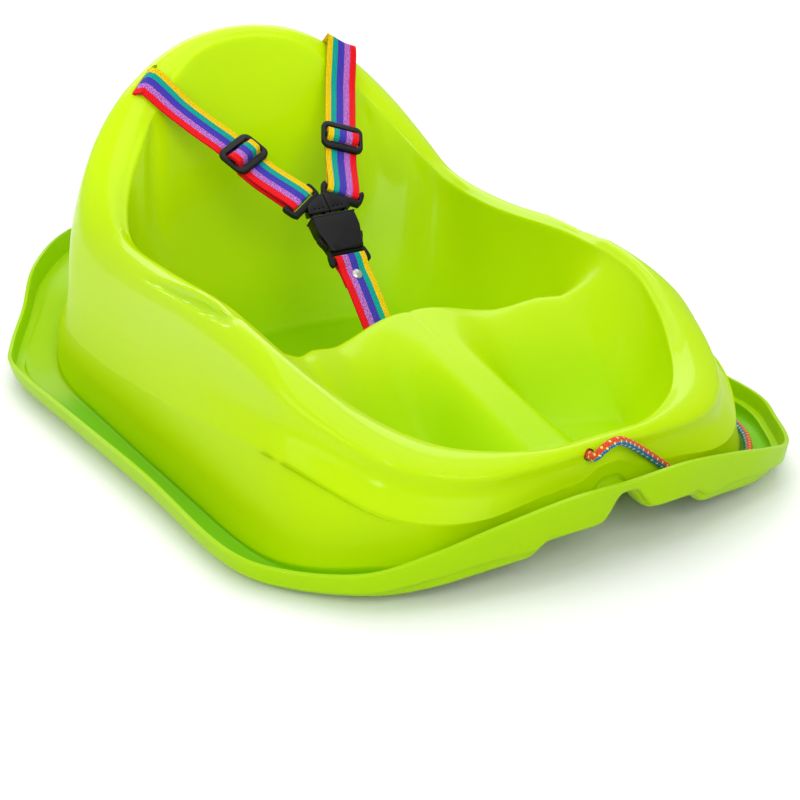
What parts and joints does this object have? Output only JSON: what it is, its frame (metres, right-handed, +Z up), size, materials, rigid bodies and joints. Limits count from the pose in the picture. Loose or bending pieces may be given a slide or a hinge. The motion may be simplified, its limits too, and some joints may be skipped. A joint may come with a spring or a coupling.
{
  "type": "baby pull sled",
  "caption": "Moulded pull sled for a baby: bucket seat with a high back on two runner grooves, webbing harness with a centre buckle, and a braided pull rope",
  "frame": {"origin": "middle of the footprint, on the ground under the runners", "axes": "+X the child's left, -Y the front where the rope is, +Z up"},
  "size_m": [0.446, 0.6495, 0.257],
  "materials": {
    "shell": "glossy, slightly translucent",
    "black_plastic": "satin moulded",
    "steel": "polished rivet",
    "webbing": "woven rainbow stripes",
    "rope": "braided"
  },
  "bodies": {
    "root": {"sled_shell": "shell", "left_shoulder_strap": "webbing", "right_shoulder_strap": "webbing", "left_strap_keeper": "black_plastic", "right_strap_keeper": "black_plastic", "buckle_socket": "black_plastic", "crotch_strap": "webbing", "crotch_rivet": "steel", "crotch_keeper": "black_plastic", "pull_rope": "rope", "rope_hank": "rope", "rope_stop_knot": "rope", "rope_end_knot": "rope"},
    "left_latch": {"left_latch": "black_plastic"},
    "right_latch": {"right_latch": "black_plastic"},
    "left_latch_arm": {"left_latch_arm": "black_plastic"},
    "right_latch_arm": {"right_latch_arm": "black_plastic"},
    "left_adjuster": {"left_strap_adjuster": "black_plastic"},
    "right_adjuster": {"right_strap_adjuster": "black_plastic"}
  },
  "joints": [
    {"name": "left_latch_release", "type": "slide", "parent": "root", "child": "left_latch", "axis": [0, 0.7218, 0.6921], "range_m": [0, 0.03], "deforming": ["left_shoulder_strap", "left_latch_arm"]},
    {"name": "left_arm_squeeze", "type": "hinge", "parent": "left_latch", "child": "left_latch_arm", "pos_m": [0.0136, 0.03763, 0.13663], "axis": [0, 0.6921, -0.7218], "range_deg": [0, 9], "stiffness_Nm_per_rad": 0.01},
    {"name": "left_adjuster_slide", "type": "slide", "parent": "root", "child": "left_adjuster", "axis": [0.4482, 0.7393, 0.5025], "range_m": [-0.008, 0.05], "deforming": ["left_shoulder_strap"]},
    {"name": "right_latch_release", "type": "slide", "parent": "root", "child": "right_latch", "axis": [0, 0.7218, 0.6921], "range_m": [0, 0.03], "deforming": ["right_shoulder_strap", "right_latch_arm"]},
    {"name": "right_arm_squeeze", "type": "hinge", "parent": "right_latch", "child": "right_latch_arm", "pos_m": [-0.0136, 0.03763, 0.13663], "axis": [0, -0.6921, 0.7218], "range_deg": [0, 9], "stiffness_Nm_per_rad": 0.01},
    {"name": "right_adjuster_slide", "type": "slide", "parent": "root", "child": "right_adjuster", "axis": [-0.4482, 0.7393, 0.5025], "range_m": [-0.008, 0.05], "deforming": ["right_shoulder_strap"]}
  ]
}
